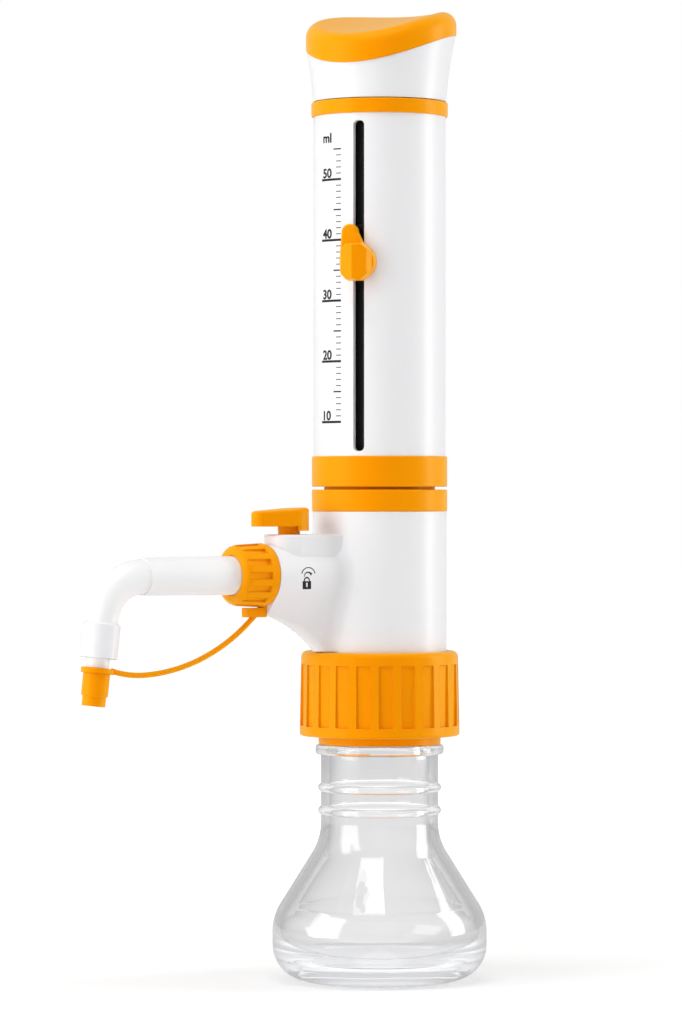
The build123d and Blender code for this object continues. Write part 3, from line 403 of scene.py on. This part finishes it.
# ---- valve block ----
# One white moulding: the collar's neck, the upright body, the spout's boss with its web, and the
# pad that the stopcock stands on.  The stopcock's bush and the spout's coupler are of the same plastic.

WHITE = (0.9, 0.9, 0.915, 1)

white_plastic = moulded(
    "white_moulding", WHITE, roughness=0.34, grain_depth=0.012 * MM, mottle=0.015, spread=0.06,
)
dress(white_plastic, "valve_block", "stem_bush", "nozzle_coupler")

# ---- collar and bands ----
# The ribbed screw collar, the bands either side of the swivel gap, the ring that guides the plunger,
# the spout's nut and the strap's ring: orange polypropylene, moulded with soft edges.

dress(orange_plastic, "collar_nut", "block_ring", "housing_ring")
dress(orange_plastic, "top_guide_ring", "union_nut", "tether_ring")

# ---- spout ----
# A stiff fluoropolymer sleeve and tube, bent down at the end, with a short tip.  The valve seats, the
# stopcock's plug and the collar's retaining ring are turned from the same waxy polymer.

TUBE_WHITE = (0.96, 0.965, 0.97, 1)

waxy_tube = moulded(
    "fluoropolymer_tube", TUBE_WHITE, roughness=0.36, grain_depth=0.01 * MM, mottle=0.03, spread=0.05,
    edge=0.25 * MM,
)
dress(waxy_tube, "tube_sleeve", "discharge_tube", "nozzle_tip", "stopcock_plug")
dress(waxy_tube, "intake_valve_body", "discharge_valve_seat", "collar_retaining_ring")

# ---- tip cap and strap ----
# The closing cap is stepped to grip the tip.  A moulded strap of the same orange polypropylene runs
# from the cap's tab to the lug on the ring behind the nut, so that the cap can't be lost.

STRAP_R = 0.95 * MM
STRAP_SIDES = 16
STRAP_DIP = radians(16.9)  # how steeply the strap leaves the tab, downwards
STRAP_DIP_TURN = radians(20.0)
STRAP_DIP_R = 40.0 * MM
STRAP_DIP_STEPS = 18
STRAP_ARC_STEPS = 72
STRAP_TAB_SHARE = 0.135  # how far down the cap the strap leaves its tab
STRAP_JOIN = 0.2 * MM  # how far the strap runs into the tab
STRAP_FLUSH = 0.02 * MM  # how far the strap's level end runs into the lug's foot
LUG_INSET = 0.6 * MM
LUG_RISE = 0.1 * MM


def strap_line(start, end):
    """Points from the cap's tab to the lug: a short dip, then one arc tangent to it."""
    centre = start + Vector((sin(STRAP_DIP), 0, cos(STRAP_DIP))) * STRAP_DIP_R
    points = []
    for i in range(STRAP_DIP_STEPS + 1):
        angle = STRAP_DIP_TURN * i / STRAP_DIP_STEPS - STRAP_DIP
        points.append(centre + Vector((sin(angle), 0, -cos(angle))) * STRAP_DIP_R)
    joint = points[-1]
    climb = STRAP_DIP_TURN - STRAP_DIP
    heading = Vector((cos(climb), 0, sin(climb)))
    inward = Vector((-heading.z, 0, heading.x))
    chord = end - joint
    radius = chord.length_squared / (2 * chord.dot(inward))
    hub = joint + inward * radius
    sweep = 2 * chord.angle(heading)
    for i in range(1, STRAP_ARC_STEPS + 1):
        angle = sweep * i / STRAP_ARC_STEPS
        points.append(hub - inward * (radius * cos(angle)) + heading * (radius * sin(angle)))
    return points


def round_bar(points, radius, sides):
    """A closed round bar along points that all lie in one upright plane, as a bmesh."""
    shape = bmesh.new()
    rings = []
    for i, point in enumerate(points):
        ahead = points[min(i + 1, len(points) - 1)] - points[max(i - 1, 0)]
        ahead.normalize()
        up = Vector((-ahead.z, 0, ahead.x))
        ring = []
        for j in range(sides):
            angle = 2 * pi * j / sides
            corner = point + (Vector((0, 1, 0)) * cos(angle) + up * sin(angle)) * radius
            ring.append(shape.verts.new(corner))
        rings.append(ring)
    for here, there in zip(rings, rings[1:]):
        for j in range(sides):
            k = (j + 1) % sides
            shape.faces.new((here[j], here[k], there[k], there[j]))
    shape.faces.new(rings[0])
    shape.faces.new(list(reversed(rings[-1])))
    return shape


def moulded_strap():
    """A round strap from the tab to the lug, cut level where it meets the lug's foot."""
    tether_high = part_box("cap_tether")[1]
    cap_low, cap_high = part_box("tip_cap")
    lug_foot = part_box("tether_ring")[0].z
    tab_middle = cap_high.z - (cap_high.z - cap_low.z) * STRAP_TAB_SHARE
    start = Vector((cap_high.x - STRAP_JOIN, 0, tab_middle + STRAP_JOIN * tan(STRAP_DIP)))
    end = Vector((tether_high.x - LUG_INSET, 0, lug_foot + LUG_RISE))
    points = strap_line(start, end)
    points.append(end + (end - points[-2]).normalized() * 2 * STRAP_R)
    shape = round_bar(points, STRAP_R, STRAP_SIDES)
    every = shape.verts[:] + shape.edges[:] + shape.faces[:]
    level = Vector((0, 0, lug_foot + STRAP_FLUSH))
    cut = bmesh.ops.bisect_plane(shape, geom=every, plane_co=level, plane_no=(0, 0, 1), clear_outer=True)
    rim = [part for part in cut["geom_cut"] if isinstance(part, bmesh.types.BMEdge)]
    bmesh.ops.contextual_create(shape, geom=rim)
    bmesh.ops.recalc_face_normals(shape, faces=shape.faces)
    mesh = bpy.data.meshes.new("cap_strap")
    shape.to_mesh(mesh)
    shape.free()
    return smooth(stand("cap_strap", mesh)), start, end


dress(orange_plastic, "tip_cap")
strap, strap_start, strap_end = moulded_strap()
strap.data.materials.append(orange("orange_strap", grain_depth=0.004 * MM, edge=0.05 * MM))
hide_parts("cap_tether")
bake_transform(strap)

# ---- valves, rod and springs ----
# Ground ceramic balls and piston, turned stainless steel for the rod, screw, clip and spring, a
# blackened steel plate behind the slot, and the glass cylinder that the piston runs in.

CERAMIC_COLOUR = (0.86, 0.84, 0.78, 1)
STEEL_COLOUR = (0.62, 0.62, 0.63, 1)
STEEL_GLINT = (0.78, 0.77, 0.75, 1)
BLACKED_COLOUR = (0.02, 0.02, 0.022, 1)
BLACKED_GLINT = (0.035, 0.035, 0.04, 1)


def turned_steel(name, colour, glint):
    """Steel with the fine rings that turning leaves round its axis."""
    made, tree, shader = finish_of(name, Metallic=1.0)
    spot = place(tree, "TexCoord").outputs["Object"]
    stretched = place(tree, "Mapping", Vector=spot, Scale=(40.0, 40.0, 4000.0)).outputs[0]
    rings = place(tree, "TexNoise", Vector=stretched, Scale=1.0, Detail=3.0).outputs["Fac"]
    rough = place(tree, "MapRange", Value=rings, To_Min=0.2, To_Max=0.36).outputs[0]
    bump = place(tree, "Bump", Height=rings, Distance=0.01 * MM).outputs[0]
    wire(tree, shader, Base_Color=mingle(tree, rings, colour, glint), Roughness=rough, Normal=bump)
    return made


ground_ceramic = moulded(
    "ground_ceramic", CERAMIC_COLOUR, roughness=0.16, grain_depth=0.004 * MM, mottle=0.05,
    grain_size=3000.0,
)
stainless = turned_steel("turned_steel", STEEL_COLOUR, STEEL_GLINT)
blackened = turned_steel("blackened_steel", BLACKED_COLOUR, BLACKED_GLINT)
cylinder_glass = clear_glass(
    "cylinder_glass", wave_size=20.0, wave_depth=0.02 * MM, smear=0.02, density=8.0,
)
dress(ground_ceramic, "ceramic_piston", "intake_ball", "discharge_ball")
dress(stainless, "piston_rod", "piston_screw", "swivel_clip", "discharge_spring")
dress(blackened, "clamp_plate")
dress(cylinder_glass, "glass_cylinder")

# ---- plunger sleeve ----
# The black polypropylene sleeve that hides the cylinder and hangs from the head, a satin strip
# behind the housing's slot.

BLACK_COLOUR = (0.016, 0.016, 0.018, 1)

black_sleeve = moulded(
    "black_sleeve", BLACK_COLOUR, roughness=0.32, grain_depth=0.012 * MM, mottle=0.1, spread=0.1,
)
dress(black_sleeve, "plunger_sleeve")

# ---- housing ----
# The white moulded tube with the long slot, held on the block by a snap ring.  Scale lines and
# numbers are printed on it, left of the slot.

INK_COLOUR = (0.011, 0.011, 0.012, 1)
GREY_INK_COLOUR = (0.045, 0.045, 0.048, 1)
TUBE_R = 23.1 * MM
INK_PROUD = 0.03 * MM
INK_SUNK = 0.02 * MM
SLICE = 0.5 * MM  # a drawing is cut this fine before it is bent round its surface
SAME_CORNER = 0.001 * MM
ON_THE_CUT = 1e-8

SCALE_FIRST = 10  # millilitres
SCALE_LAST = 55
ML = 2.1 * MM  # the height of one millilitre
FIRST_Z = 194.8 * MM
LINES_END = radians(199.2)
LINE_START = {1: radians(193.8), 5: radians(190.85), 10: radians(174.7)}
LINE_T = {1: 0.32 * MM, 5: 0.5 * MM, 10: 0.8 * MM}
NUMERAL_MIDDLE = radians(182.6)
NUMERAL_H = 3.4 * MM
NUMERAL_GAP = 0.15 * MM  # between a number's foot and its line
UNIT_FOOT = 291.6 * MM
STROKE_GAIN = 0.032  # thickens the plain typeface
WIDENED = 1.1


def patch(shape, left, right, low, high):
    """A flat rectangle."""
    places = ((left, low), (right, low), (right, high), (left, high))
    shape.faces.new([shape.verts.new((x, y, 0)) for x, y in places])


def wording(shape, text, middle, foot, height):
    """Plain numbers or letters, centred on a place and standing on a line."""
    curve = bpy.data.curves.new("wording", "FONT")
    curve.body = text
    curve.resolution_u = 6
    curve.offset = STROKE_GAIN
    holder = bpy.data.objects.new("wording", curve)
    flat = bpy.data.meshes.new_from_object(holder)
    xs = [v.co.x for v in flat.vertices]
    ys = [v.co.y for v in flat.vertices]
    scale = height / (max(ys) - min(ys))
    flat.transform(Matrix.Translation((-(max(xs) + min(xs)) / 2, -min(ys), 0)))
    flat.transform(Matrix.Diagonal((scale * WIDENED, scale, 1, 1)))
    flat.transform(Matrix.Translation((middle, foot, 0)))
    shape.from_mesh(flat)
    bpy.data.objects.remove(holder)
    bpy.data.curves.remove(curve)
    bpy.data.meshes.remove(flat)


def sliced(shape, way):
    """Cuts a flat drawing every SLICE along a direction, so that it can be bent."""
    reach = [v.co.dot(way) for v in shape.verts]
    low, high = min(reach), max(reach)
    for i in range(1, int((high - low) / SLICE) + 1):
        every = shape.verts[:] + shape.edges[:] + shape.faces[:]
        spot = way * (low + i * SLICE)
        bmesh.ops.bisect_plane(shape, geom=every, dist=ON_THE_CUT, plane_co=spot, plane_no=way)


def printed(name, shape, onto, material, body):
    """Turns a flat drawing into a thin layer of ink laid on a surface by onto(x, y, depth)."""
    bmesh.ops.remove_doubles(shape, verts=shape.verts, dist=SAME_CORNER)
    sliced(shape, Vector((1, 0, 0)))
    sliced(shape, Vector((0, 1, 0)))
    shape.normal_update()
    for face in shape.faces:
        if face.normal.z < 0:
            face.normal_flip()
    grown = bmesh.ops.extrude_face_region(shape, geom=shape.faces[:])["geom"]
    raised = {part for part in grown if isinstance(part, bmesh.types.BMVert)}
    for corner in shape.verts:
        corner.co = onto(corner.co.x, corner.co.y, INK_PROUD if corner in raised else -INK_SUNK)
    bmesh.ops.recalc_face_normals(shape, faces=shape.faces)
    mesh = bpy.data.meshes.new(name)
    shape.to_mesh(mesh)
    shape.free()
    mesh.materials.append(material)
    piece = stand(name, mesh)
    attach(piece, body)


def round_the_tube(x, y, depth):
    """A place on the tube: x is the arc from the side away from the spout and y the height."""
    angle = x / TUBE_R
    return Vector(((TUBE_R + depth) * cos(angle), (TUBE_R + depth) * sin(angle), y))


def scale_height(volume):
    """How high the scale shows a volume in millilitres."""
    return FIRST_Z + (volume - SCALE_FIRST) * ML


def scale_lines(*sizes):
    """The lines of the scale that mark every 1, 5 or 10 ml, for the sizes asked."""
    shape = bmesh.new()
    for volume in range(SCALE_FIRST, SCALE_LAST + 1):
        size = max(size for size in LINE_T if volume % size == 0)
        if size in sizes:
            middle = scale_height(volume)
            half = LINE_T[size] / 2
            patch(shape, LINE_START[size] * TUBE_R, LINES_END * TUBE_R, middle - half, middle + half)
    return shape


def scale_numbers():
    """The numbers that stand on the 10 ml lines, and the unit above them."""
    shape = bmesh.new()
    middle = NUMERAL_MIDDLE * TUBE_R
    for volume in range(SCALE_FIRST, SCALE_LAST, 10):
        foot = scale_height(volume) + LINE_T[10] / 2 + NUMERAL_GAP
        wording(shape, str(volume), middle, foot, NUMERAL_H)
    wording(shape, "ml", middle, UNIT_FOOT, NUMERAL_H)
    return shape


def ink(name, colour):
    """A dry printing ink."""
    return moulded(
        name, colour, roughness=0.5, grain_depth=0.003 * MM, mottle=0.1, edge=0.05 * MM,
        Specular_IOR_Level=0.3,
    )


dress(white_plastic, "housing_tube")
black_ink = ink("black_ink", INK_COLOUR)
grey_ink = ink("thin_ink", GREY_INK_COLOUR)
printed("scale_fine_lines", scale_lines(1), round_the_tube, grey_ink, "housing")
printed("scale_main_lines", scale_lines(5, 10), round_the_tube, black_ink, "housing")
printed("scale_numbers", scale_numbers(), round_the_tube, black_ink, "housing")

# ---- lock sign ----
# A padlock under a turning arrow, printed in black on the boss's flank to show how the lever shuts
# the spout.

SIGN_X = -37.7 * MM
SIGN_Z = 141.3 * MM
SIGN_LEAN = 0.7  # sets the strokes upright where the boss curves away from the reader
LEAN_ROUNDS = 3
SIGN_REACH = 40.0 * MM
STROKE_STEPS = 24


def band(shape, centre, radius, start, end, widths, squash=1.0):
    """A flat curved stroke between two angles in degrees; widths are those of its two ends."""
    rows = []
    for i in range(STROKE_STEPS + 1):
        share = i / STROKE_STEPS
        angle = radians(start + (end - start) * share)
        half = (widths[0] + (widths[1] - widths[0]) * share) / 2
        row = []
        for r in (radius - half, radius + half):
            x = centre[0] + r * cos(angle)
            y = centre[1] + r * sin(angle) * squash
            row.append(shape.verts.new((x, y, 0)))
        rows.append(row)
    for here, there in zip(rows, rows[1:]):
        shape.faces.new((here[0], here[1], there[1], there[0]))


def lock_sign():
    """The arc of the lever's swing, the curved arrow, and the padlock with its shackle and keyhole."""
    shape = bmesh.new()
    swing = (0.15 * MM, 0.95 * MM)
    arrow = (-0.15 * MM, 0.35 * MM)
    shackle = (-0.5 * MM, -1.35 * MM)
    band(shape, swing, radius=2.75 * MM, start=172, end=8, widths=(0.36 * MM, 0.36 * MM), squash=0.86)
    band(shape, arrow, radius=1.35 * MM, start=185, end=50, widths=(0.26 * MM, 0.5 * MM))
    arrow_tip = ((0.35, 1.95), (1.75, 1.35), (1.15, 0.45))
    shape.faces.new([shape.verts.new((x * MM, y * MM, 0)) for x, y in arrow_tip])
    band(shape, shackle, radius=1.1 * MM, start=180, end=0, widths=(0.42 * MM, 0.42 * MM), squash=1.15)
    left, right, foot, top = -2.25 * MM, 1.25 * MM, -4.1 * MM, -1.35 * MM
    hole_left, hole_right, hole_foot, hole_top = -0.85 * MM, -0.15 * MM, -3.35 * MM, -1.85 * MM
    patch(shape, left, hole_left, foot, top)
    patch(shape, hole_right, right, foot, top)
    patch(shape, hole_left, hole_right, foot, hole_foot)
    patch(shape, hole_left, hole_right, hole_top, top)
    return shape


def block_surface():
    """The valve block's surface, ready for rays."""
    shape = bmesh.new()
    shape.from_mesh(nodes["valve_block"].data)
    tree = BVHTree.FromBMesh(shape)
    shape.free()
    return tree


block_flank = block_surface()


def boss_at(x, z):
    """Where the boss's flank is met from -Y, and its normal there."""
    return block_flank.ray_cast(Vector((x, -SIGN_REACH, z)), Vector((0, 1, 0)))[:2]


BOSS_FACE_Y = boss_at(SIGN_X, SIGN_Z)[0].y


def on_the_boss(x, y, depth):
    """A place on the boss's flank, set so that the sign stands upright when it is read."""
    lean = 0.0
    for _ in range(LEAN_ROUNDS):
        hit, normal = boss_at(SIGN_X + x + lean, SIGN_Z + y)
        lean = (hit.y - BOSS_FACE_Y) * SIGN_LEAN
    return hit + normal * depth


printed("lock_sign", lock_sign(), on_the_boss, black_ink, "valve_head")

# ---- volume pointer ----
# The pear-shaped pointer that slides along the slot, and its faceted thumb knob, which clamps it to
# the plate inside.  Both are moulded in the same orange polypropylene.

dress(orange_plastic, "volume_pointer", "clamp_knob")

# ---- stopcock ----
# The teardrop lever, moulded in one with the stem that drives the plug.  Along the spout it is open,
# and across it is shut.

dress(orange_plastic, "valve_lever")

# ---- head ----
# The hollow white head, flared and cut on a slant, and the dished orange thumb cap that closes it.
# A screw inside fixes the head to the piston's rod.

dress(white_plastic, "handle_body")
dress(orange_plastic, "handle_cap")

# ---- studio ----
# A pale floor, soft boxes on both sides and above, and a level camera in front.  None of it is the
# object.

CAMERA_SIDE = Vector((-0.574, -0.819, 0.0))  # from the instrument towards the camera
CAMERA_RIGHT = Vector((0.819, -0.574, 0.0))
CAMERA_DISTANCE = 1.54
CAMERA_HEIGHT = 0.1709
CAMERA_LEFT = 0.0135
CAMERA_NEAREST = 0.1
CAMERA_FURTHEST = 20.0
SENSOR = 36.0
FRAME_HEIGHT = 1024  # pixels
FOCAL_PIXELS = 4400
HORIZON_ABOVE_CENTRE = 21  # pixels
LAMP_AIM = Vector((0, 0, 0.17))
AMBIENT = 0.425  # the room's brightness to diffuse rays
GLOSS_SURROUND = 0.6  # and to reflections
GLASS_SURROUND = 0.84  # and through glass, ahead
GLASS_FLANK = 0.16  # and through glass, to both sides
FLOOR_COLOUR = (1.0, 1.0, 1.0, 1)
FLOOR_SIZE = 12.0
FLOOR_DROP = 0.0002
FLOOR_SHADE = 0.6  # how much of the floor's own shading shows
OPEN_FLOOR = 1.02  # just over white
FLOOR_GLOW = (OPEN_FLOOR - FLOOR_SHADE * AMBIENT) / (1.0 - FLOOR_SHADE)  # brings open floor to white
NEAR_GLOW = 1.2  # by the instrument, where the lamps light the floor too
SHADE_R = 0.06
OPEN_R = 0.7


def set_camera():
    """The level camera, with its picture shifted so that the horizon lies a little above the centre."""
    data = bpy.data.cameras.new("camera")
    camera = stand("camera", data)
    bpy.context.scene.camera = camera
    aside = CAMERA_RIGHT * CAMERA_LEFT
    camera.location = CAMERA_SIDE * CAMERA_DISTANCE - aside + Vector((0, 0, CAMERA_HEIGHT))
    camera.rotation_mode = "QUATERNION"
    camera.rotation_quaternion = (-CAMERA_SIDE).to_track_quat("-Z", "Y")
    data.sensor_width = SENSOR
    data.lens = SENSOR * FOCAL_PIXELS / FRAME_HEIGHT
    data.shift_y = -HORIZON_ABOVE_CENTRE / FRAME_HEIGHT
    data.clip_start = CAMERA_NEAREST
    data.clip_end = CAMERA_FURTHEST


def soft_box(name, angle, height, distance, width, tall, power):
    """An area lamp at an angle round from the camera's side, aimed at the instrument."""
    lamp = bpy.data.lights.new(name, "AREA")
    lamp.shape = "RECTANGLE"
    lamp.size = width
    lamp.size_y = tall
    lamp.energy = power
    box = stand(name, lamp)
    side = Matrix.Rotation(radians(angle), 3, "Z") @ CAMERA_SIDE
    box.location = side * distance + Vector((0, 0, height))
    box.rotation_mode = "QUATERNION"
    box.rotation_quaternion = (LAMP_AIM - box.location).to_track_quat("-Z", "Y")
    box.visible_camera = False


def surround_group():
    """How bright the room is to each kind of ray; glass also sees it dark on both flanks."""
    group, given, made = effect(
        "surround",
        [
            ("Way", "Vector", (0, 0, 0)), ("Seen", "Float", 0.0), ("Glossy", "Float", 0.0),
            ("Through", "Float", 0.0),
        ],
        [("Level", "Float")],
    )
    gloss = place(group, "MapRange", Value=given["Glossy"], To_Min=AMBIENT, To_Max=GLOSS_SURROUND)
    way = place(group, "VectorMath", operation="NORMALIZE", Vector=given["Way"]).outputs[0]
    flank = reckon(group, "ABSOLUTE", gauge(group, "DOT_PRODUCT", way, CAMERA_RIGHT))
    ahead = place(
        group, "MapRange", Value=flank, From_Min=0.22, From_Max=0.7,
        To_Min=GLASS_SURROUND, To_Max=GLASS_FLANK,
    )
    through = reckon(group, "MULTIPLY", given["Through"], ahead.outputs[0])
    unseen = reckon(group, "MAXIMUM", gloss.outputs[0], through)
    feed(group, made["Level"], reckon(group, "MAXIMUM", unseen, given["Seen"]))
    return group


def room_level(tree, rays, way):
    """The room's brightness to the ray at hand, looking along a way."""
    return use(
        tree, surround, Way=way, Seen=rays["Is Camera Ray"], Glossy=rays["Is Glossy Ray"],
        Through=rays["Is Transmission Ray"],
    )["Level"]


def pale_world():
    """White where the camera looks at it, and a plain grey light on everything else."""
    world = bpy.data.worlds.new("studio")
    bpy.context.scene.world = world
    world.use_nodes = True
    tree = world.node_tree
    tree.nodes.clear()
    way = place(tree, "TexCoord").outputs["Generated"]
    level = room_level(tree, place(tree, "LightPath").outputs, way)
    background = place(tree, "Background", Color=(1, 1, 1, 1), Strength=level)
    wire(tree, tree.nodes.new("ShaderNodeOutputWorld"), Surface=background.outputs[0])


def pale_floor():
    """A wide floor that shows white to the camera and keeps a faint shadow of the instrument."""
    bpy.ops.mesh.primitive_plane_add(size=FLOOR_SIZE, location=(0, 0, -FLOOR_DROP))
    floor = bpy.context.object
    floor.name = "floor"
    made, tree, shader = finish_of(
        "floor_paper", Base_Color=FLOOR_COLOUR, Roughness=0.9, Specular_IOR_Level=0.0,
    )
    rays = place(tree, "LightPath").outputs
    way = place(tree, "TexCoord").outputs["Object"]
    away = gauge(tree, "LENGTH", way)
    glow = place(
        tree, "MapRange", Value=away, From_Min=SHADE_R, From_Max=OPEN_R,
        To_Min=NEAR_GLOW, To_Max=FLOOR_GLOW,
    )
    gain = place(tree, "MapRange", Value=rays["Is Camera Ray"], To_Min=1.0, To_Max=glow.outputs[0])
    level = reckon(tree, "MULTIPLY", room_level(tree, rays, way), gain.outputs[0])
    light = place(tree, "Emission", Color=(1, 1, 1, 1), Strength=level)
    mirrored = reckon(tree, "MAXIMUM", rays["Is Glossy Ray"], rays["Is Transmission Ray"])
    seen = reckon(tree, "MAXIMUM", rays["Is Camera Ray"], mirrored)
    faint = place(tree, "MixShader")
    feed(tree, faint.inputs[0], reckon(tree, "MULTIPLY", seen, 1.0 - FLOOR_SHADE))
    feed(tree, faint.inputs[1], shader.outputs[0])
    feed(tree, faint.inputs[2], light.outputs[0])
    wire(tree, tree.nodes["Material Output"], Surface=faint.outputs[0])
    floor.data.materials.append(made)


surround = surround_group()
set_camera()
soft_box("left_box", angle=-64.0, height=0.45, distance=1.3, width=0.9, tall=1.2, power=10.0)
soft_box("right_box", angle=94.0, height=0.4, distance=1.3, width=0.45, tall=1.2, power=9.0)
soft_box("top_box", angle=-20.0, height=1.5, distance=0.5, width=0.8, tall=0.8, power=7.0)
pale_world()
pale_floor()
bpy.context.scene.view_settings.view_transform = "Standard"
